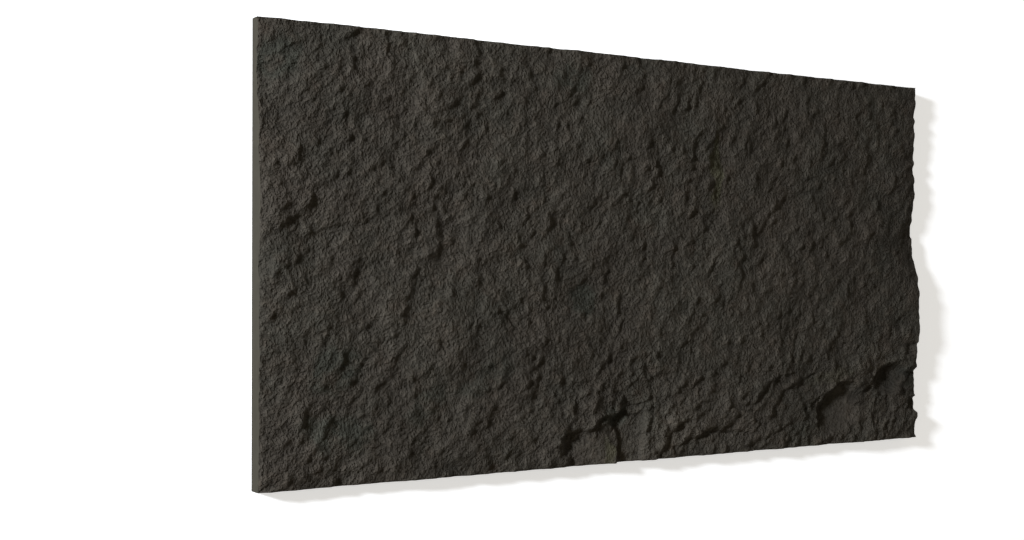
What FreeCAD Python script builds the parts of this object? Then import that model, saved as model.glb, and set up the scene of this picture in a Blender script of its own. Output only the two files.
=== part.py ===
import FreeCAD, Part
import math
import os
import random
import Sketcher

# Faux stone wall panel: one moulded sheet with a flat back, four planar edges
# and a split rock face whose lower edge is chipped.
# It lies on its back: X runs along the length, Y up the wall, Z out of the face.
# The origin is the centre of the back.

# Overall sizes in millimetres.
MAIN_SIZES = (
    ("panel_length", 1200),
    ("panel_width", 600),
    ("face_level", 27),
    ("relief_headroom", 25),
    ("back_arris", 1.5),
    ("edge_roll_drop", 3),
    ("edge_roll_reach", 14),
    ("long_wave_length", 410),
    ("long_wave_rise", 1.2),
    ("long_wave_skew", 0.4),
    ("short_wave_length", 150),
    ("short_wave_rise", 0.9),
    ("short_wave_skew", -0.5),
    ("pole_spacing", 24),
    ("pole_scatter", 3),
    ("face_overrun", 40),
    ("patch_columns", 6),
    ("patch_rows", 3),
    ("flake_wall_lean", 28),
)

# Swells and dips of the rock face. Each row: name, side edge and long edge that
# place it, distance in from each, half length, half width, turn of the long
# axis, and rise of its middle, which is negative in a dip.
SWELL_SIZES = ("in_from_side", "in_from_long_edge", "half_length", "half_width", "turn", "rise")
SWELLS = (
    ("upper_left_dip", "left", "top", 0, 62, 48, 62, 0, -7.5),
    ("left_crest", "left", "top", 16, 235, 34, 66, 0, 5.5),
    ("left_ridge", "left", "top", 30, 395, 22, 90, 0, 3),
    ("upper_left_ridge", "left", "top", 268, 85, 22, 42, -25, 4),
    ("upper_left_hollow", "left", "top", 328, 100, 26, 40, -25, -2.5),
    ("upright_valley", "left", "top", 280, 225, 20, 52, 0, -4.5),
    ("upright_ridge", "left", "top", 322, 228, 18, 36, 0, 3),
    ("high_ground", "left", "top", 600, 120, 150, 62, 12, 5),
    ("low_ground", "left", "top", 590, 262, 150, 40, 12, -2.5),
    ("high_ground_end", "left", "top", 775, 150, 30, 60, 0, -3.5),
    ("middle_bench", "left", "top", 350, 380, 70, 90, 0, 2.5),
    ("middle_hollow", "left", "top", 520, 355, 26, 34, 0, -3),
    ("middle_swell", "right", "top", 385, 330, 60, 50, 30, 3),
    ("right_swell", "right", "top", 352, 200, 34, 60, 0, 3),
    ("right_hollow", "right", "top", 285, 215, 34, 60, 0, -2.5),
    ("upper_right_valley", "right", "top", 92, 115, 20, 60, -40, -4),
    ("right_margin", "right", "top", 0, 90, 40, 150, 0, 4.5),
    ("right_nick", "right", "top", 0, 124, 26, 14, 0, -5),
    ("right_bay", "right", "top", 0, 250, 30, 32, 0, -14),
    ("right_crest", "right", "bottom", 0, 212, 44, 82, 0, 13),
    ("lower_left_ridge", "left", "bottom", 62, 68, 24, 44, -12, 3),
    ("lower_left_valley", "left", "bottom", 138, 60, 28, 62, -12, -3.5),
    ("lower_left_swell", "left", "bottom", 204, 62, 24, 48, -12, 3.5),
    ("lower_hollow", "left", "bottom", 384, 22, 30, 32, 0, -4),
    ("lower_swell", "left", "bottom", 560, 18, 130, 48, 0, 7),
    ("lump", "left", "bottom", 656, 40, 32, 34, 0, 6.5),
    ("lower_right_swell", "right", "bottom", 330, 105, 70, 36, 25, 5),
    ("corner_swell", "right", "bottom", 90, 60, 80, 50, 10, 3),
)

# Flakes split off the face, each of which leaves a flat tilted floor with four
# straight leaning walls or a round one. Each row: name, side edge that places it,
# distances of the floor's middle from that side and from the lower edge, half
# length, half width, depth under the face level, turn of the long axis, and the
# floor's slopes along it and across it.
FLAKE_SIZES = (
    "in_from_side", "up", "half_length", "half_width",
    "depth", "turn", "slope", "cross_slope",
)
STRAIGHT_FLAKES = (
    ("left_wall", "left", 469.5, 12, 14, 34, 2.5, 6, 20, 0),
    ("left_flake", "left", 520, 18, 37, 33, 0.9, 5, -7.8, 1),
    ("middle_flake", "left", 585, 22, 24, 48, 6.8, 0, -2, 0),
    ("foot_flake", "left", 716, 3, 44, 26, 2.4, 16, -1, -5),
    ("foot_chip", "left", 786, 2, 42, 30, 1.6, -3, -2, -5),
    ("slanted_facet", "right", 250, 90, 22, 26, -0.5, 20, -8, 3),
    ("ridge_flake", "right", 112, 54, 50, 32, 2.5, 20, 1, -3),
    ("edge_notch", "right", 18, 93, 20, 20, 1.5, 8, 7, 0),
    ("edge_ledge", "right", 20, 142, 42, 18, -4, 5, 4, -6),
    ("corner_chip", "right", 3, 58, 16, 10, 6, -14, 5, 0),
)
ROUND_FLAKES = (
    ("arc_flake", "left", 590, 30, 84, 54, -2.4, 0, -1.5, -5.5),
    ("lump_flake", "left", 682, 10, 56, 34, 1.4, 52, -3, 0),
    ("upper_scale", "right", 305, 62, 76, 54, -4.4, 20, -1.4, -3.2),
    ("lower_scale", "right", 268, 59, 72, 46, -1.2, 22, -1.6, -3),
)

# Shell-shaped hollows left by round flakes. Each row: name, side edge that
# places it, distances of its middle from that side and from the lower edge, half
# length, half width and half height of the hollow, height of its middle over the
# face level, turn, and slopes along its length and its width.
HOLLOW_SIZES = (
    "in_from_side", "up", "half_length", "half_width", "half_height",
    "height", "turn", "slope", "cross_slope",
)
HOLLOWS = (
    ("dark_pit", "left", 567, 67, 22, 15, 14, 2, 35, 0, 0),
    ("large_hollow", "right", 179, 56, 58, 46, 13.5, 1, 22, -2.5, -8.5),
    ("small_hollow", "right", 64, 103, 38, 26, 16, 2, 20, -3, -10),
)


def named_sizes(rows, size_names):
    """Pairs of name and number for rows that end with those sizes."""
    pairs = []
    for row in rows:
        numbers = row[-len(size_names):]
        pairs += [(f"{row[0]}_{name}", number) for name, number in zip(size_names, numbers)]
    return pairs


doc = FreeCAD.newDocument("faux_stone_panel")
sheet = doc.addObject("Spreadsheet::Sheet", "Sizes")
all_sizes = list(MAIN_SIZES)
all_sizes += named_sizes(SWELLS, SWELL_SIZES)
all_sizes += named_sizes(STRAIGHT_FLAKES + ROUND_FLAKES, FLAKE_SIZES)
all_sizes += named_sizes(HOLLOWS, HOLLOW_SIZES)
for row, (name, number) in enumerate(all_sizes, start=1):
    sheet.set(f"A{row}", name)
    sheet.set(f"B{row}", str(number))
    sheet.setAlias(f"B{row}", name)
doc.recompute()


def size(name):
    """The number that the sheet holds under a name."""
    return float(sheet.get(name))


panel_length = size("panel_length")
panel_width = size("panel_width")
face_level = size("face_level")


def moulded_blank():
    """Block higher than the highest relief, with the arrises of its back eased."""
    body = doc.addObject("PartDesign::Body", "blank")
    back_plane = [plane for plane in body.Origin.OriginFeatures if plane.Role == "XY_Plane"][0]
    outline = body.newObject("Sketcher::SketchObject", "blank_outline")
    outline.AttachmentSupport = [(back_plane, "")]
    outline.MapMode = "FlatFace"
    ends = [FreeCAD.Vector(x * panel_length / 2, y * panel_width / 2, 0)
            for x, y in ((-1, -1), (1, -1), (1, 1), (-1, 1))]
    for start, end in zip(ends, ends[1:] + ends[:1]):
        outline.addGeometry(Part.LineSegment(start, end))
    for line in range(4):
        outline.addConstraint(Sketcher.Constraint("Coincident", line, 2, (line + 1) % 4, 1))
    for line in (0, 2):
        outline.addConstraint(Sketcher.Constraint("Horizontal", line))
        outline.addConstraint(Sketcher.Constraint("Vertical", line + 1))
    outline.addConstraint(Sketcher.Constraint("Symmetric", 0, 1, 1, 2, -1, 1))
    outline.addConstraint(Sketcher.Constraint("Distance", 0, panel_length))
    outline.setExpression("Constraints[9]", "Sizes.panel_length")
    outline.addConstraint(Sketcher.Constraint("Distance", 1, panel_width))
    outline.setExpression("Constraints[10]", "Sizes.panel_width")
    pad = body.newObject("PartDesign::Pad", "blank_thickness")
    pad.Profile = outline
    pad.setExpression("Length", "Sizes.face_level + Sizes.relief_headroom")
    doc.recompute()
    back_edges = [f"Edge{number}" for number, edge in enumerate(pad.Shape.Edges, start=1)
                  if edge.BoundBox.ZMax < face_level / 2]
    arrises = body.newObject("PartDesign::Chamfer", "back_arrises")
    arrises.Base = (pad, back_edges)
    arrises.setExpression("Size", "Sizes.back_arris")
    return body


def from_edge(side, distance):
    """X or Y at a distance in from one of the four edges."""
    half = panel_length / 2 if side in ("left", "right") else panel_width / 2
    return half - distance if side in ("right", "top") else distance - half


def swell_height(row, x, y):
    """Height that one swell adds to the face at a place."""
    name, side, long_edge = row[:3]
    across = x - from_edge(side, size(f"{name}_in_from_side"))
    up = y - from_edge(long_edge, size(f"{name}_in_from_long_edge"))
    turn = math.radians(size(f"{name}_turn"))
    along = (across * math.cos(turn) + up * math.sin(turn)) / size(f"{name}_half_length")
    beside = (up * math.cos(turn) - across * math.sin(turn)) / size(f"{name}_half_width")
    return size(f"{name}_rise") * math.exp(-(along ** 2 + beside ** 2))


def face_height(x, y):
    """Height of the rock face over the back, without its chips."""
    full_turn = 2 * math.pi
    long_phase = full_turn * (x + size("long_wave_skew") * y) / size("long_wave_length")
    short_phase = full_turn * (y + size("short_wave_skew") * x) / size("short_wave_length")
    height = face_level
    height += size("long_wave_rise") * math.sin(long_phase)
    height += size("short_wave_rise") * math.sin(short_phase) * math.cos(long_phase)
    height += sum(swell_height(row, x, y) for row in SWELLS)
    edge_distance = max(0, min(panel_length / 2 - abs(x), panel_width / 2 - abs(y)))
    return height - size("edge_roll_drop") * math.exp(-edge_distance / size("edge_roll_reach"))


def clamped_knots(pole_count, degree):
    """Knots and multiplicities of a uniform spline that ends on its end poles."""
    spans = pole_count - degree
    knots = [float(knot) for knot in range(spans + 1)]
    return knots, [degree + 1] + [1] * (spans - 1) + [degree + 1]


def stretches(knots, count):
    """First and last knot of each of that many stretches of a spline."""
    ends = [knots[round(step * (len(knots) - 1) / count)] for step in range(round(count) + 1)]
    return zip(ends, ends[1:])


def stone_above_face():
    """Everything above the rock face, as one spline surface in patches, drawn upwards."""
    overrun = size("face_overrun")
    spacing = size("pole_spacing")
    columns = round((panel_length + 2 * overrun) / spacing) + 1
    rows = round((panel_width + 2 * overrun) / spacing) + 1
    poles = []
    for column in range(columns):
        x = (panel_length / 2 + overrun) * (2 * column / (columns - 1) - 1)
        line = []
        for row in range(rows):
            y = (panel_width / 2 + overrun) * (2 * row / (rows - 1) - 1)
            scatter = random.Random(f"{column}, {row}").uniform(-1, 1) * size("pole_scatter")
            line.append(FreeCAD.Vector(x, y, face_height(x, y) + scatter))
        poles.append(line)
    degree = 3
    column_knots, column_counts = clamped_knots(columns, degree)
    row_knots, row_counts = clamped_knots(rows, degree)
    surface = Part.BSplineSurface()
    surface.buildFromPolesMultsKnots(
        poles, column_counts, row_counts, column_knots, row_knots, False, False, degree, degree)
    upwards = FreeCAD.Vector(0, 0, face_level + size("relief_headroom") + overrun)
    blocks = []
    for column_ends in stretches(column_knots, size("patch_columns")):
        for row_ends in stretches(row_knots, size("patch_rows")):
            patch = surface.copy()
            patch.segment(*column_ends, *row_ends)
            blocks.append(patch.toShape().extrude(upwards))
    waste = doc.addObject("Part::Feature", "stone_above_face")
    waste.Shape = blocks[0].multiFuse(blocks[1:])
    return waste


# A cutter is as high as the blank, so it reaches out of the highest stone.
CUTTER_HEIGHT = "(Sizes.face_level + Sizes.relief_headroom)"
WALL_SPREAD = f"{CUTTER_HEIGHT} * tan(Sizes.flake_wall_lean)"


def tilted_place(name, side, height):
    """Placement expression of a cutter: its middle, measured from two edges, and its tilt."""
    from_middle = f"Sizes.panel_length / 2 - Sizes.{name}_in_from_side"
    if side == "left":
        from_middle = f"Sizes.{name}_in_from_side - Sizes.panel_length / 2"
    middle = f"create(<<vector>>; {from_middle}; Sizes.{name}_up - Sizes.panel_width / 2; {height})"
    tilt = f"Sizes.{name}_turn; Sizes.{name}_slope; Sizes.{name}_cross_slope"
    return f"create(<<placement>>; {middle}; create(<<rotation>>; {tilt}))"


def floor_place(name, side):
    """Placement expression of a flake's floor."""
    return tilted_place(name, side, f"Sizes.face_level - Sizes.{name}_depth")


def straight_flake_cutter(row):
    """Block over the four-sided floor of a flake, wider towards its top."""
    name, side = row[:2]
    cutter = doc.addObject("Part::Wedge", name)
    cutter.setExpression("Ymin", "0")
    cutter.setExpression("Ymax", CUTTER_HEIGHT)
    for axis, half in (("X", "half_length"), ("Z", "half_width")):
        floor = f"Sizes.{name}_{half}"
        top = f"({floor} + {WALL_SPREAD})"
        cutter.setExpression(f"{axis}max", floor)
        cutter.setExpression(f"{axis}min", f"-{floor}")
        cutter.setExpression(f"{axis}2max", top)
        cutter.setExpression(f"{axis}2min", f"-{top}")
    upright = "create(<<placement>>; create(<<vector>>; 0; 0; 0); create(<<rotation>>; 0; 0; 90))"
    cutter.setExpression("Placement", f"{floor_place(name, side)} * {upright}")
    return cutter


def oval(name, flake, height, spread):
    """Outline of a round flake's cutter at a height over its floor."""
    outline = doc.addObject("Part::Ellipse", name)
    outline.setExpression("MajorRadius", f"Sizes.{flake}_half_length + {spread}")
    outline.setExpression("MinorRadius", f"Sizes.{flake}_half_width + {spread}")
    outline.setExpression("Placement.Base.z", height)
    return outline


def round_flake_cutter(row):
    """Oval cup over the round floor of a flake, wider towards its top."""
    name, side = row[:2]
    cutter = doc.addObject("Part::Loft", name)
    cutter.Sections = [
        oval(f"{name}_floor", name, "0", "0"),
        oval(f"{name}_top", name, CUTTER_HEIGHT, WALL_SPREAD),
    ]
    cutter.Solid = True
    cutter.Ruled = True
    cutter.setExpression("Placement", floor_place(name, side))
    return cutter


def hollow_cutter(row):
    """Tilted ellipsoid whose underside is a shell-shaped hollow."""
    name, side = row[:2]
    cutter = doc.addObject("Part::Ellipsoid", name)
    cutter.setExpression("Radius1", f"Sizes.{name}_half_height")
    cutter.setExpression("Radius2", f"Sizes.{name}_half_length")
    cutter.setExpression("Radius3", f"Sizes.{name}_half_width")
    cutter.setExpression("Placement", tilted_place(name, side, f"Sizes.face_level + Sizes.{name}_height"))
    return cutter


blank = moulded_blank()
waste = stone_above_face()
rock_faced = doc.addObject("Part::Cut", "rock_faced_blank")
rock_faced.Base = blank
rock_faced.Tool = waste

cutters = [straight_flake_cutter(row) for row in STRAIGHT_FLAKES]
cutters += [round_flake_cutter(row) for row in ROUND_FLAKES]
cutters += [hollow_cutter(row) for row in HOLLOWS]
chips = doc.addObject("Part::Compound", "chips")
chips.Links = cutters

stone_panel = doc.addObject("Part::Cut", "stone_panel")
stone_panel.Label = "stone_panel"
stone_panel.Base = rock_faced
stone_panel.Tool = chips
# The broken faces keep the edges between them.
stone_panel.Refine = False
stone_panel.Placement = FreeCAD.Placement()
doc.recompute()

for item in doc.Objects:
    if "Invalid" in item.State or "Error" in item.State:
        raise RuntimeError(f"{item.Label} failed: {item.State}")
if stone_panel.Shape.isNull() or not stone_panel.Shape.isValid():
    raise RuntimeError("stone_panel has no valid shape")
if len(stone_panel.Shape.Solids) != 1:
    raise RuntimeError(f"stone_panel has {len(stone_panel.Shape.Solids)} solids")

os.makedirs("parts", exist_ok=True)
stone_panel.Shape.exportStep("parts/stone_panel.step")
bounds = stone_panel.Shape.optimalBoundingBox(True, False)
print(f"stone_panel {bounds.XLength:.1f} x {bounds.YLength:.1f} x {bounds.ZLength:.2f} mm, "
      f"volume {stone_panel.Shape.Volume / 1e6:.2f} litres")
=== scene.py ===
import math

import bpy
import numpy as np
from mathutils import Matrix, Vector
from mathutils.bvhtree import BVHTree


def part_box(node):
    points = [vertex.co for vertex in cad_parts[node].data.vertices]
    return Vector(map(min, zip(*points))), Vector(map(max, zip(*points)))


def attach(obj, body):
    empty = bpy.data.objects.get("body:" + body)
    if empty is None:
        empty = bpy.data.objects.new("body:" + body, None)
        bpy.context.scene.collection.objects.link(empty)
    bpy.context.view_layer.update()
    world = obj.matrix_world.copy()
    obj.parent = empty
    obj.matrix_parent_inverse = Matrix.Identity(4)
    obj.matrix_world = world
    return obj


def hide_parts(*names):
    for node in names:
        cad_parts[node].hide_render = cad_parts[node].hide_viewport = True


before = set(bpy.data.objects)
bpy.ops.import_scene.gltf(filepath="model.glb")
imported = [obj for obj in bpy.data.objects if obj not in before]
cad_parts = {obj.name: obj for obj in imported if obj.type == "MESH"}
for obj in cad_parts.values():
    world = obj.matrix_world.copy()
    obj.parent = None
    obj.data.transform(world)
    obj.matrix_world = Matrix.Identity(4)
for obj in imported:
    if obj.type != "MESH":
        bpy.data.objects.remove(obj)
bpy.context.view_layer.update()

# Faux stone wall panel, lying on its back with its rock face up.
# Lengths are in metres, in the frame's axes: X along the panel, Y up the wall, Z out of the face.

NODE = "stone_panel"
low_corner, high_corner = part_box(NODE)
LENGTH = high_corner.x - low_corner.x
WIDTH = high_corner.y - low_corner.y
TOP = high_corner.z

# Camera of the photograph, fitted to ten places on the panel's outline.
CAMERA_PLACE = Vector((-1.282, -0.0387, 1.6685))
CAMERA_TURN = math.radians(32.8)
CAMERA_RISE = math.radians(0.61)
FOCAL_PIXELS = 1396.7
IMAGE_WIDTH = 1024
SENSOR_WIDTH = 36

# Light: one lamp beyond the left edge, and a dim room that looks white to the camera.
KEY_AZIMUTH = math.radians(165)
KEY_RISE = math.radians(21)
KEY_DISTANCE = 4.2
KEY_SIZE = 0.55
KEY_WATTS = 325
KEY_COLOUR = (0.95, 1.0, 1.075)
FILL_COLOUR = (1.14, 1.0, 0.75, 1)
FILL_AT_HORIZON = 0.75
FILL_OVERHEAD = 0.16
WHITE = (1, 1, 1, 1)

# Floor. To the camera it gives off some light of its own, so that it shows white: the
# lift within the near reach of the panel's middle, and full white past the far one.
FLOOR_REACH = 12.0
FLOOR_GAP = 0.0005
FLOOR_GREY = (0.8, 0.8, 0.8, 1)
FLOOR_NEAR = 1.2
FLOOR_FAR = 4.0
FLOOR_LIFT = 0.58

# Paint, on the rock face and on the smooth sides.
BROWN_GREY = (0.0436, 0.0374, 0.0302, 1)
GREEN_GREY = (0.0334, 0.0330, 0.0262, 1)
WARM_BROWN = (0.0434, 0.0350, 0.0271, 1)
OLIVE = (0.0489, 0.0454, 0.0294, 1)
DARK_SIDE = (0.0311, 0.0280, 0.0214, 1)
PALE_SIDE = (0.0366, 0.0329, 0.0248, 1)
PAINT_ROUGHNESS = 0.9
PAINT_SHEEN = 0.05

# Mesh of the panel.
COLUMNS = 430
ROWS = 215
SIDE_ROWS = 3
BACK_ARRIS = 0.0015
CREASE_ANGLE = math.radians(50)

# Where the face's points stand closer: within this reach of the rim, and about the two
# groups of chips, whose middles lie this far from the left, right and lower edges.
RIM_REACH = 0.004
LEFT_CHIPS = 0.565
RIGHT_CHIPS = 0.175
CHIPS_UP = 0.055

# Sampling of the solid's height.
SAMPLE_STEP = 0.0015
EASE_REACH = 0.0011

# How far the solid's edges are bent to run raggedly: reach and width of each wave.
BENDS = (
    (0.0014, 0.030),
    (0.0016, 0.012),
)

# Waves that warp the layers of the rock face's relief: reach and width.
WARP = (0.006, 0.040)

# Broad layers of the relief: height, width and seed.
BROAD_LUMPS = (0.0030, 0.054, 22)
BROAD_SCALES = (0.0008, 0.038, 23)

# Directions in degrees: of the grain, along which some layers are longer, and of the
# scales' rise.
GRAIN_DIRECTION = 40.0
SCALE_DIRECTION = -25.0

# Extra share of height that some layers have near the chips.
EXTRA_NEAR_CHIPS = 0.2

# Finer layers: height, width, seed, stretch along the grain, and 1 where the layer has
# the extra height, or else 0.
FINE_LUMPS = (
    (0.0014, 0.022, 21, 2.2, 0),
    (0.0010, 0.020, 26, 1.0, 0),
    (0.0026, 0.0112, 32, 1.8, 1),
)

# Pebbly layers: height, width and seed of the domes that stand up, and width of the
# rounded pits between them. The finest one isn't warped and has no extra height.
FINE_PEBBLES = (
    (0.0022, 0.022, 24, 0.019),
    (0.0020, 0.0125, 27, 0.0115),
)
FINEST_PEBBLES = (0.0016, 0.0074, 29, 0.0070)

# Reach in cells over which a place is compared with the face about it.
NEARBY_CELLS = 2.5

# Pits deeper than this under the face about them are filled by this share of the rest.
PIT_DEPTH = 0.0003
PIT_FILL = 0.75

# Wear of the arris round the face: mean drop, how much it varies, and its reach.
ARRIS_WEAR = 0.0009
ARRIS_WEAR_CHANGE = 0.0006
ARRIS_WEAR_REACH = 0.0012

# Depth under the face about a place that counts as one unit of hollow, by which the rock's colour is
# darkened as painted shade.
HOLLOW_UNIT = 0.0005

# Smooth floors where flakes came off: middle from the left and lower edges, half
# length, half width, turn in degrees, and how smooth the floor is, from 0 to 1.
SMOOTH_FLOORS = (
    (0.520, 0.016, 0.034, 0.028, 5, 0.55),
    (0.583, 0.028, 0.020, 0.038, 0, 0.45),
    (0.668, 0.008, 0.020, 0.014, 10, 0.4),
    (0.855, 0.085, 0.026, 0.020, 50, 0.3),
    (0.900, 0.070, 0.034, 0.026, 30, 0.3),
    (0.948, 0.090, 0.020, 0.022, 20, 0.35),
    (1.022, 0.056, 0.050, 0.034, 34, 0.7),
    (1.134, 0.103, 0.030, 0.020, 20, 0.6),
    (1.184, 0.100, 0.020, 0.013, 10, 0.4),
)

# Fracture lines about the chips: start and end from the left and lower edges, how far
# the line bows to its left, and how deep the face drops on its right.
FRACTURES = (
    (0.516, 0.063, 0.550, 0.080, 0.003, 0.0008),
    (0.574, 0.083, 0.646, 0.078, 0.004, 0.0016),
    (0.651, 0.056, 0.643, 0.080, -0.002, 0.0024),
    (0.599, 0.010, 0.611, 0.052, -0.002, 0.0010),
    (0.671, 0.024, 0.677, 0.054, 0.001, 0.0030),
    (0.705, 0.022, 0.790, 0.044, 0.003, 0.0022),
    (0.829, 0.050, 0.860, 0.039, 0.000, 0.0026),
    (0.924, 0.101, 0.966, 0.118, 0.003, 0.0024),
    (0.938, 0.060, 0.976, 0.084, -0.003, 0.0040),
    (1.056, 0.076, 1.102, 0.100, 0.002, 0.0030),
    (1.116, 0.083, 1.146, 0.078, -0.005, 0.0026),
    (1.076, 0.171, 1.132, 0.156, 0.003, 0.0026),
    (1.160, 0.116, 1.196, 0.113, 0.001, 0.0030),
    (0.700, 0.100, 0.728, 0.128, 0.002, 0.0018),
    (0.872, 0.112, 0.912, 0.120, 0.003, 0.0022),
)

# Places where the chips' edges sit a little off the solid's: middle, reach, and
# how far they move to the right and down.
NUDGES = (
    (0.553, 0.078, 0.020, 0.0, 0.011),
    (0.562, 0.026, 0.022, 0.0045, 0.0),
    (0.616, 0.045, 0.016, -0.004, 0.0),
    (0.614, 0.010, 0.020, -0.009, 0.0),
)

# Painted highlights and painted shade: patches where the rock's colour is lighter on the
# chip floors and the lump, and darker in the hollows and towards the right edge: middle,
# half sizes and turn as above, and the share of light that it gains.
PAINTED_LIGHT_AND_SHADE = (
    (0.526, 0.016, 0.028, 0.024, 5, 0.20),
    (0.583, 0.028, 0.018, 0.036, 0, 0.10),
    (0.656, 0.042, 0.036, 0.034, 0, 0.34),
    (0.740, 0.040, 0.090, 0.036, 8, 0.14),
    (1.062, 0.076, 0.022, 0.020, 34, -0.34),
    (1.150, 0.103, 0.034, 0.024, 20, -0.20),
    (0.890, 0.085, 0.070, 0.050, 20, -0.10),
    (1.180, 0.090, 0.020, 0.026, 0, -0.12),
    (1.170, 0.340, 0.060, 0.300, 0, -0.16),
    (1.130, 0.150, 0.070, 0.030, 15, 0.16),
)

# Stains in the paint: the same, and how green-grey the stain is, or how olive if negative.
STAINS = (
    (0.030, 0.555, 0.034, 0.028, 60, 1.0),
    (0.105, 0.150, 0.040, 0.030, 30, 1.0),
    (0.105, 0.068, 0.056, 0.022, -8, 0.9),
    (0.240, 0.100, 0.034, 0.020, 40, 0.5),
    (0.330, 0.130, 0.044, 0.020, 20, 0.6),
    (0.500, 0.240, 0.020, 0.024, 0, 0.9),
    (0.480, 0.560, 0.036, 0.020, 20, 0.6),
    (0.753, 0.440, 0.012, 0.060, 0, -1.0),
    (0.560, 0.070, 0.030, 0.020, 30, 0.6),
    (0.545, 0.014, 0.012, 0.020, 0, -0.8),
    (1.000, 0.112, 0.050, 0.012, 10, -0.3),
    (0.945, 0.018, 0.050, 0.018, 0, 0.3),
    (1.186, 0.110, 0.016, 0.020, 0, 0.4),
)

scene = bpy.context.scene


def hashed(column, row, seed):
    """A repeatable number from 0 to 1 for each lattice point."""
    mixed = (column * 374761393 + row * 668265263 + seed * 2246822519) & 0xFFFFFFFF
    mixed = ((mixed ^ (mixed >> 13)) * 1274126177) & 0xFFFFFFFF
    mixed = ((mixed ^ (mixed >> 16)) * 2654435761) & 0xFFFFFFFF
    return ((mixed ^ (mixed >> 15)) & 0xFFFFFF) / float(0xFFFFFF)


def gradient_noise(x, y, seed):
    """Smooth noise of about -1 to 1 with one feature for each lattice cell."""
    column = np.floor(x).astype(np.int64)
    row = np.floor(y).astype(np.int64)
    across = x - column
    up = y - row
    ease_x = across ** 3 * (across * (across * 6 - 15) + 10)
    ease_y = up ** 3 * (up * (up * 6 - 15) + 10)

    def corner(right, above):
        angle = hashed(column + right, row + above, seed) * 2 * math.pi
        return np.cos(angle) * (across - right) + np.sin(angle) * (up - above)

    lower = corner(0, 0) * (1 - ease_x) + corner(1, 0) * ease_x
    upper = corner(0, 1) * (1 - ease_x) + corner(1, 1) * ease_x
    return 1.5 * (lower * (1 - ease_y) + upper * ease_y)


def lattice(x, y, size, degrees, stretch=1.0):
    """Places counted in lattice cells that are turned, and longer one way by the stretch."""
    angle = math.radians(degrees)
    along = (x * math.cos(angle) + y * math.sin(angle)) / stretch
    beside = y * math.cos(angle) - x * math.sin(angle)
    return along / size, beside / size


def lumps(x, y, size, seed, stretch=1.0):
    """Noise of about that size. Where it is stretched, it runs along the grain."""
    degrees = 17 * seed if stretch == 1.0 else GRAIN_DIRECTION
    return gradient_noise(*lattice(x, y, size, degrees, stretch), seed)


def scattered(u, v, seed):
    """The nine lattice cells about each place, with the way from a point in each to the place."""
    column = np.floor(u).astype(np.int64)
    row = np.floor(v).astype(np.int64)
    for right in (-1, 0, 1):
        for above in (-1, 0, 1):
            cell = (column + right, row + above)
            yield cell, u - cell[0] - hashed(*cell, seed), v - cell[1] - hashed(*cell, seed + 101)


def pebbles(x, y, size, seed):
    """Rounded grains: one dome about a scattered point in each lattice cell."""
    dome = np.full(x.shape, -1.0)
    for cell, across, up in scattered(*lattice(x, y, size, 23 * seed), seed):
        level = 0.5 * hashed(*cell, seed + 202)
        dome = np.maximum(dome, level + 0.5 - (across * across + up * up))
    return dome


def scales(x, y, size, seed):
    """Overlapping lobes that rise slowly in one direction and break off steeply at their rims."""
    turn = 31 * seed
    rise = math.radians(SCALE_DIRECTION - turn)
    lobe = np.full(x.shape, -0.2)
    for cell, across, up in scattered(*lattice(x, y, size, turn), seed):
        level = 0.5 * hashed(*cell, seed + 202)
        reach = 0.62 + 0.3 * hashed(*cell, seed + 303)
        past = np.maximum(np.hypot(across, up) - reach, 0)
        slope = 0.8 * (across * math.cos(rise) + up * math.sin(rise))
        lobe = np.maximum(lobe, level + slope - 5.0 * past)
    return lobe


def within(spot, x, y):
    """1 inside a ragged oval spot of the face, 0 outside it."""
    from_left, up, half_length, half_width, turn = spot
    wobble, wobble_size = 0.010, 0.024
    across = x - low_corner.x - from_left + wobble * lumps(x, y, wobble_size, 51)
    above = y - low_corner.y - up + wobble * lumps(x, y, wobble_size, 52)
    angle = math.radians(turn)
    along = (across * math.cos(angle) + above * math.sin(angle)) / half_length
    beside = (above * math.cos(angle) - across * math.sin(angle)) / half_width
    return faded(np.hypot(along, beside), 0.7, 1.25)


def smoothness(x, y):
    """How smooth the face is: 0 on rough rock, up to 1 on a floor without fine relief."""
    return np.max([row[-1] * within(row[:-1], x, y) for row in SMOOTH_FLOORS], axis=0)


def fractured(x, y):
    """How far the face drops along the fracture lines: steeply at the line, then back up."""
    step_width = 0.0006
    ledge_width = 0.009
    drop = np.zeros(x.shape)
    wobble = 0.0022 * lumps(x, y, 0.011, 61)
    for start_x, start_up, end_x, end_up, bow, depth in FRACTURES:
        chord = math.hypot(end_x - start_x, end_up - start_up)
        along_x = (end_x - start_x) / chord
        along_y = (end_up - start_up) / chord
        across = x - low_corner.x - start_x
        above = y - low_corner.y - start_up
        share = (across * along_x + above * along_y) / chord
        right = across * along_y - above * along_x + 4 * bow * share * (1 - share) + wobble
        step = 1 / (1 + np.exp(-np.clip(right / step_width, -30, 30)))
        ledge = step * np.exp(-np.maximum(right, 0) / ledge_width)
        drop = np.maximum(drop, depth * ledge * faded(np.abs(share - 0.5), 0.3, 0.56))
    return drop


def spotted(rows, x, y):
    """Sum of what each patch of a table adds at a place; the tables are the stains and the painted
    light and shade.
    """
    return sum(row[-1] * within(row[:-1], x, y) for row in rows)


def eased(grid, reach):
    """The grid blurred by a bell curve of that reach, in cells."""
    taps = int(math.ceil(3 * reach))
    weights = np.exp(-0.5 * (np.arange(-taps, taps + 1) / reach) ** 2)
    weights /= weights.sum()
    for axis in (0, 1):
        pads = [(taps, taps) if axis == other else (0, 0) for other in (0, 1)]
        padded = np.pad(grid, pads, mode="edge")
        size = grid.shape[axis]
        grid = sum(weight * np.take(padded, range(step, step + size), axis)
                   for step, weight in enumerate(weights))
    return grid


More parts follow.
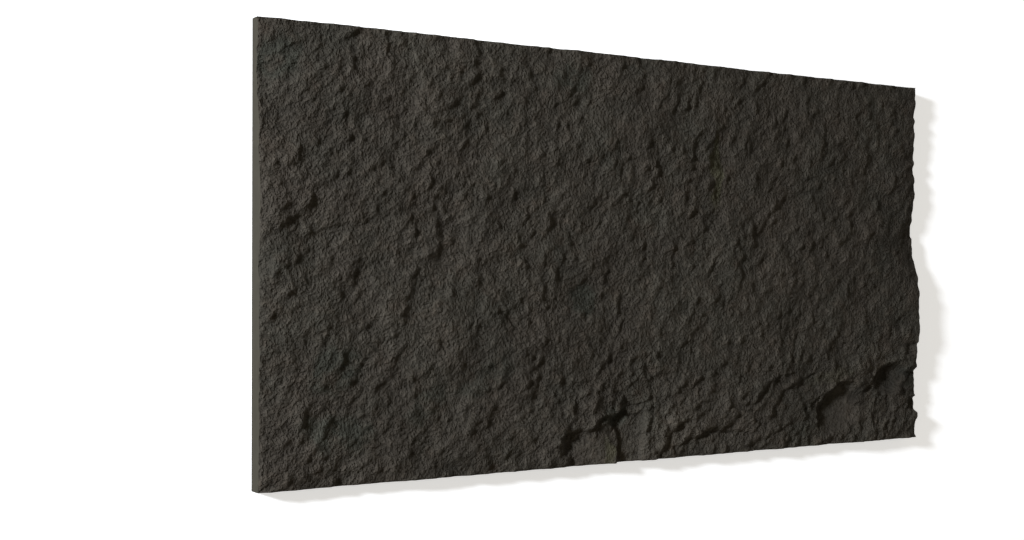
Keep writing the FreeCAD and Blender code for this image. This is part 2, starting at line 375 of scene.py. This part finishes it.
def solid_heights():
    """Heights of the CAD face on a fine even grid, its sharpest edges eased."""
    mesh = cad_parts[NODE].data
    points = [vertex.co for vertex in mesh.vertices]
    tree = BVHTree.FromPolygons(points, [tuple(face.vertices) for face in mesh.polygons])
    inset = 1e-5
    xs = np.linspace(low_corner.x + inset, high_corner.x - inset, round(LENGTH / SAMPLE_STEP) + 1)
    ys = np.linspace(low_corner.y + inset, high_corner.y - inset, round(WIDTH / SAMPLE_STEP) + 1)
    down = Vector((0, 0, -1))
    heights = np.array([[tree.ray_cast(Vector((x, y, 1)), down)[0].z for x in xs] for y in ys])
    return eased(heights, EASE_REACH / SAMPLE_STEP)


def sampled(grid, x, y):
    """Values of the even grid at any places, read between its cells."""
    column = np.clip((x - low_corner.x) / LENGTH, 0, 1) * (grid.shape[1] - 1)
    row = np.clip((y - low_corner.y) / WIDTH, 0, 1) * (grid.shape[0] - 1)
    left = np.minimum(column.astype(int), grid.shape[1] - 2)
    below = np.minimum(row.astype(int), grid.shape[0] - 2)
    right_share = column - left
    upper_share = row - below
    lower = grid[below, left] * (1 - right_share) + grid[below, left + 1] * right_share
    upper = grid[below + 1, left] * (1 - right_share) + grid[below + 1, left + 1] * right_share
    return lower * (1 - upper_share) + upper * upper_share


def crowded(count, low, high, windows):
    """Places from low to high that stand closer in the windows: centre, half width, gain."""
    fine = np.linspace(low, high, 4001)
    density = np.ones(fine.size)
    for centre, half, gain in windows:
        density += gain / (1 + ((fine - centre) / half) ** 8)
    total = np.concatenate([[0], np.cumsum((density[1:] + density[:-1]) / 2)])
    return np.interp(np.linspace(0, total[-1], count + 1), total, fine)


def faded(values, start, end):
    """1 before start, 0 after end, eased between."""
    share = np.clip((values - end) / (start - end), 0, 1)
    return share * share * (3 - 2 * share)


def face_grid():
    """Places of the rock face's points: closer at the rim and about the chips."""
    left, right = low_corner.x, high_corner.x
    lower, upper = low_corner.y, high_corner.y
    left_chips = left + LEFT_CHIPS
    right_chips = right - RIGHT_CHIPS
    rim_x = [(left, RIM_REACH, 2), (right, RIM_REACH, 2)]
    rim_y = [(lower, RIM_REACH, 2), (upper, RIM_REACH, 2)]
    chip_x = [(left_chips, 0.12, 0.9), (right_chips, 0.19, 0.9)]
    chip_y = [(lower + CHIPS_UP, 0.075, 1.0)]
    x_even = crowded(COLUMNS, left, right, rim_x)
    x_chip = crowded(COLUMNS, left, right, rim_x + chip_x)
    y_even = crowded(ROWS, lower, upper, rim_y)
    y_chip = crowded(ROWS, lower, upper, rim_y + chip_y)
    near_edge = faded(y_even, lower + 0.12, lower + 0.32)[:, None]
    x = x_even[None, :] + near_edge * (x_chip - x_even)[None, :]
    near_chips = np.maximum(faded(np.abs(x_even - left_chips), 0.15, 0.3),
                            faded(np.abs(x_even - right_chips), 0.2, 0.35))[None, :]
    y = y_even[:, None] + near_chips * (y_chip - y_even)[:, None]
    return x, y


def relief(x, y):
    """What the rock face adds to the CAD height, in metres."""
    warp, warp_size = WARP
    bent = (x + warp * lumps(x, y, warp_size, 11), y + warp * lumps(x, y, warp_size, 12))
    height, size, seed = BROAD_LUMPS
    broad = height * lumps(*bent, size, seed)
    height, size, seed = BROAD_SCALES
    broad += height * scales(*bent, size, seed)
    chip_edge = y - low_corner.y + 0.05 * lumps(x, y, 0.15, 33)
    extra = EXTRA_NEAR_CHIPS * faded(chip_edge, 0.08, 0.20)
    fine = np.zeros(x.shape)
    for height, size, seed, stretch, has_extra in FINE_LUMPS:
        fine += height * (1 + has_extra * extra) * lumps(*bent, size, seed, stretch)
    for height, size, seed, pit_size in FINE_PEBBLES:
        domes = pebbles(*bent, size, seed) - pebbles(*bent, pit_size, seed + 1)
        fine += height * (1 + extra) * domes
    height, size, seed, pit_size = FINEST_PEBBLES
    fine += height * (pebbles(x, y, size, seed) - pebbles(x, y, pit_size, seed + 1))
    fine += PIT_FILL * np.maximum(eased(fine, NEARBY_CELLS) - fine - PIT_DEPTH, 0)
    rough = 1 - smoothness(x, y)
    return broad * (1 + rough) / 2 + fine * rough - fractured(x, y)


def arris_drop(x, y):
    """How far the worn arris falls below the face."""
    inwards = np.minimum(np.minimum(x - low_corner.x, high_corner.x - x),
                         np.minimum(y - low_corner.y, high_corner.y - y))
    wear = ARRIS_WEAR + ARRIS_WEAR_CHANGE * lumps(x, y, 0.012, 31)
    return wear * np.exp(-inwards / ARRIS_WEAR_REACH)


def bend(x, y, seed):
    """How far the solid's edges are bent at each place, one way."""
    return sum(reach * lumps(x, y, size, seed + step) for step, (reach, size) in enumerate(BENDS))


def face_heights(x, y):
    """Heights of the rock face: the solid's, its edges bent and nudged, and the relief."""
    shift_x = bend(x, y, 41)
    shift_y = bend(x, y, 43)
    for from_left, up, reach, right, down in NUDGES:
        away = (x - low_corner.x - from_left) ** 2 + (y - low_corner.y - up) ** 2
        near = np.exp(-away / reach ** 2)
        shift_x -= right * near
        shift_y += down * near
    height = sampled(solid_heights(), x + shift_x, y + shift_y)
    return np.minimum(height + relief(x, y) - arris_drop(x, y), TOP)


def side_rings(rim):
    """Rings of points from the face's rim down the sides, and the one round the back."""
    rings = []
    for step in range(1, SIDE_ROWS + 1):
        ring = rim.copy()
        ring[:, 2] += (BACK_ARRIS - ring[:, 2]) * step / SIDE_ROWS
        rings.append(ring)
    back = rim.copy()
    back[:, 0] = np.clip(back[:, 0], low_corner.x + BACK_ARRIS, high_corner.x - BACK_ARRIS)
    back[:, 1] = np.clip(back[:, 1], low_corner.y + BACK_ARRIS, high_corner.y - BACK_ARRIS)
    back[:, 2] = 0
    return rings + [back]


def panel_mesh():
    """Closed mesh: the rock face as a height field, plain sides and a plain back."""
    x, y = face_grid()
    height = face_heights(x, y)
    points = [np.stack([x, y, height], -1).reshape(-1, 3)]
    cell = np.arange(x.size).reshape(x.shape)
    corners = [cell[:-1, :-1], cell[:-1, 1:], cell[1:, 1:], cell[1:, :-1]]
    faces = np.stack(corners, -1).reshape(-1, 4).tolist()
    rock_faces = len(faces)
    upper = np.concatenate([cell[0, :], cell[1:, -1], cell[-1, -2::-1], cell[-2:0:-1, 0]])
    count = x.size
    for ring in side_rings(points[0][upper]):
        points.append(ring)
        lower = np.arange(count, count + len(ring))
        count += len(ring)
        faces += np.stack([upper, lower, np.roll(lower, -1), np.roll(upper, -1)], -1).tolist()
        upper = lower
    faces.append(upper[::-1].tolist())
    mesh = bpy.data.meshes.new("rock_panel")
    mesh.from_pydata(np.concatenate(points).tolist(), [], faces)
    slots = (np.arange(len(faces)) >= rock_faces).astype(np.int32)
    mesh.polygons.foreach_set("material_index", slots)
    mesh.polygons.foreach_set("use_smooth", np.ones(len(faces), bool))
    mesh.set_sharp_from_angle(angle=CREASE_ANGLE)
    # How far each point lies below the face about it, which darkens the rock's colour as painted
    # shade.
    hollow = (eased(height, NEARBY_CELLS) - height) / HOLLOW_UNIT
    paints = {"hollow": hollow, "smoothness": smoothness(x, y),
              # Patches of painted highlight and painted shade.
              "painted_light_and_shade": spotted(PAINTED_LIGHT_AND_SHADE, x, y), "stain": spotted(STAINS, x, y)}
    for name, grid in paints.items():
        attribute = mesh.attributes.new(name, "FLOAT", "POINT")
        values = np.zeros(count, np.float32)
        values[:x.size] = grid.ravel()
        attribute.data.foreach_set("value", values)
    mesh.update()
    return mesh


class Nodes:
    """Short calls for building the node tree of a material or of the world."""

    def __init__(self, owner, shader):
        self.owner = owner
        owner.use_nodes = True
        self.tree = owner.node_tree
        self.shader = self.tree.nodes[shader]

    def add(self, kind, links=(), **settings):
        node = self.tree.nodes.new(kind)
        for key, value in settings.items():
            setattr(node, key, value)
        for socket, value in dict(links).items():
            if isinstance(value, bpy.types.NodeSocket):
                self.tree.links.new(value, node.inputs[socket])
            else:
                node.inputs[socket].default_value = value
        return node

    def place(self):
        return self.add("ShaderNodeTexCoord").outputs["Object"]

    def noise(self, size, detail, roughness):
        links = {"Vector": self.place(), "Scale": 1 / size, "Detail": detail, "Roughness": roughness}
        return self.add("ShaderNodeTexNoise", links).outputs["Fac"]

    def maths(self, operation, first, second):
        return self.add("ShaderNodeMath", {0: first, 1: second}, operation=operation).outputs[0]

    def ramp(self, value, low, high, start, end):
        links = {"Value": value, "From Min": low, "From Max": high, "To Min": start, "To Max": end}
        return self.add("ShaderNodeMapRange", links).outputs["Result"]

    def mix(self, share, first, second, blend="MIX"):
        links = {0: share, 6: first, 7: second}
        return self.add("ShaderNodeMix", links, data_type="RGBA", blend_type=blend).outputs[2]

    def bump(self, height, distance, strength):
        links = {"Height": height, "Distance": distance, "Strength": strength}
        return self.add("ShaderNodeBump", links).outputs["Normal"]

    def seen(self):
        """1 for rays that show the background, 0 for rays that light the object."""
        path = self.add("ShaderNodeLightPath").outputs
        direct = self.maths("MAXIMUM", path["Is Camera Ray"], path["Is Glossy Ray"])
        return self.maths("MAXIMUM", direct, path["Is Transmission Ray"])

    def attribute(self, name):
        return self.add("ShaderNodeAttribute", attribute_name=name).outputs["Fac"]

    def set_inputs(self, **values):
        """Values or links for the shader's sockets, their names written with underscores."""
        for name, value in values.items():
            socket = self.shader.inputs[name.replace("_", " ")]
            if isinstance(value, bpy.types.NodeSocket):
                self.tree.links.new(value, socket)
            else:
                socket.default_value = value


def rock_colour(paint):
    """Brown-grey with clouds of warmer and greener paint, and with the stains."""
    stain = paint.attribute("stain")
    green = paint.ramp(paint.noise(0.060, 4.0, 0.6), 0.35, 0.7, 0.0, 0.75)
    green = paint.maths("ADD", green, paint.maths("MAXIMUM", stain, 0.0))
    olive = paint.maths("MAXIMUM", paint.maths("MULTIPLY", stain, -1.0), 0.0)
    warm = paint.ramp(paint.noise(0.030, 4.0, 0.6), 0.45, 0.75, 0.0, 1.0)
    colour = paint.mix(green, BROWN_GREY, GREEN_GREY)
    colour = paint.mix(warm, colour, WARM_BROWN)
    return paint.mix(olive, colour, OLIVE)


def rock_material():
    """Matt dark brown-grey paint over the rough moulded face, with painted shade in its hollows and
    grain, and patches of painted highlight and shade.
    """
    paint = Nodes(bpy.data.materials.new("rock_paint"), "Principled BSDF")
    grain_size, grain_depth = 0.0046, 0.0041
    grain = paint.maths("MULTIPLY", paint.noise(grain_size, 2.0, 0.6), 1.5)
    grain = paint.maths("SUBTRACT", grain, 0.5)
    # Painted shade: the colour darkens in the face's hollows and lightens a little on its bumps.
    painted_light_and_mottle = paint.ramp(paint.attribute("hollow"), -1.2, 1.2, 1.06, 0.90)
    layers = (
        # Painted shade in the grain: the colour is darker where the grain's bumps are low.
        paint.ramp(grain, 0.0, 0.5, 0.8, 1.12),
        # Painted highlights and painted shade in patches: lighter on the chip floors and the lump,
        # darker in the hollows and towards the right edge.
        paint.maths("ADD", paint.attribute("painted_light_and_shade"), 1.0),
        paint.ramp(paint.noise(0.085, 3.0, 0.5), 0.3, 0.7, 0.83, 1.17),
        paint.ramp(paint.noise(0.0075, 3.0, 0.6), 0.25, 0.75, 0.86, 1.14),
    )
    for layer in layers:
        painted_light_and_mottle = paint.maths("MULTIPLY", painted_light_and_mottle, layer)
    strength = paint.ramp(paint.attribute("smoothness"), 0.0, 1.0, 1.0, 0.25)
    paint.set_inputs(Base_Color=paint.mix(1.0, rock_colour(paint), painted_light_and_mottle, "MULTIPLY"),
                     Normal=paint.bump(grain, grain_depth, strength),
                     Roughness=PAINT_ROUGHNESS, Specular_IOR_Level=PAINT_SHEEN)
    return paint.owner


def side_material():
    """A slightly darker colour of the paint, on the smooth moulded sides and the back."""
    paint = Nodes(bpy.data.materials.new("edge_paint"), "Principled BSDF")
    mottle = paint.ramp(paint.noise(0.016, 4.0, 0.6), 0.3, 0.7, 0.0, 1.0)
    paint.set_inputs(Base_Color=paint.mix(mottle, DARK_SIDE, PALE_SIDE),
                     Normal=paint.bump(paint.noise(0.004, 3.0, 0.6), 0.0003, 1.0),
                     Roughness=PAINT_ROUGHNESS, Specular_IOR_Level=PAINT_SHEEN)
    return paint.owner


def build_panel():
    panel = bpy.data.objects.new("rock_panel", panel_mesh())
    scene.collection.objects.link(panel)
    panel.data.materials.append(rock_material())
    panel.data.materials.append(side_material())
    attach(panel, "root")
    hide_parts(NODE)
    return panel


def build_floor():
    """Pale floor that shows white to the camera but for the object's shadow."""
    mesh = bpy.data.meshes.new("floor")
    corners = [(x * FLOOR_REACH, y * FLOOR_REACH, 0) for x, y in ((-1, -1), (1, -1), (1, 1), (-1, 1))]
    mesh.from_pydata(corners, [], [(0, 1, 2, 3)])
    floor = bpy.data.objects.new("floor", mesh)
    floor.location.z = -FLOOR_GAP
    scene.collection.objects.link(floor)
    ground = Nodes(bpy.data.materials.new("pale_floor"), "Principled BSDF")
    away = ground.add("ShaderNodeVectorMath", {0: ground.place()}, operation="LENGTH").outputs["Value"]
    lift = ground.ramp(away, FLOOR_NEAR, FLOOR_FAR, FLOOR_LIFT, 1.0)
    lift = ground.maths("MULTIPLY", ground.seen(), lift)
    ground.set_inputs(Base_Color=FLOOR_GREY, Roughness=1.0, Specular_IOR_Level=0.0,
                      Emission_Color=WHITE, Emission_Strength=lift)
    mesh.materials.append(ground.owner)


def build_camera():
    camera = bpy.data.cameras.new("photo_camera")
    camera.sensor_width = SENSOR_WIDTH
    camera.lens = FOCAL_PIXELS * SENSOR_WIDTH / IMAGE_WIDTH
    camera.clip_start = 0.05
    camera.clip_end = 50
    level = Vector((math.sin(CAMERA_TURN), 0, -math.cos(CAMERA_TURN)))
    upright = Vector((0, 1, 0))
    right = Vector((math.cos(CAMERA_TURN), 0, math.sin(CAMERA_TURN)))
    ahead = level * math.cos(CAMERA_RISE) + upright * math.sin(CAMERA_RISE)
    up = upright * math.cos(CAMERA_RISE) - level * math.sin(CAMERA_RISE)
    placed = bpy.data.objects.new("photo_camera", camera)
    turn = Matrix((right, up, -ahead)).transposed().to_4x4()
    placed.matrix_world = Matrix.Translation(CAMERA_PLACE) @ turn
    scene.collection.objects.link(placed)
    scene.camera = placed


def build_key_lamp():
    """Disc lamp aimed at the middle of the panel."""
    lamp = bpy.data.lights.new("key", "AREA")
    lamp.shape = "DISK"
    lamp.size = KEY_SIZE
    lamp.energy = KEY_WATTS
    lamp.color = KEY_COLOUR
    way = Vector((math.cos(KEY_RISE) * math.cos(KEY_AZIMUTH),
                  math.cos(KEY_RISE) * math.sin(KEY_AZIMUTH),
                  math.sin(KEY_RISE)))
    placed = bpy.data.objects.new("key", lamp)
    placed.location = KEY_DISTANCE * way
    placed.rotation_euler = (-way).to_track_quat("-Z", "Y").to_euler()
    scene.collection.objects.link(placed)


def build_room():
    """White to the camera, and a dim warm fill, brightest at the horizon, to the object."""
    scene.world = bpy.data.worlds.new("studio")
    studio = Nodes(scene.world, "Background")
    seen = studio.seen()
    way = studio.add("ShaderNodeTexCoord").outputs["Generated"]
    rise = studio.add("ShaderNodeSeparateXYZ", {0: way}).outputs["Z"]
    fill = studio.ramp(rise, 0.0, 0.35, FILL_AT_HORIZON, FILL_OVERHEAD)
    unseen_fill = studio.maths("MULTIPLY", studio.maths("SUBTRACT", 1.0, seen), fill)
    studio.set_inputs(Color=studio.mix(seen, FILL_COLOUR, WHITE),
                      Strength=studio.maths("ADD", seen, unseen_fill))


build_panel()
build_floor()
build_camera()
build_key_lamp()
build_room()
scene.view_settings.view_transform = "Standard"
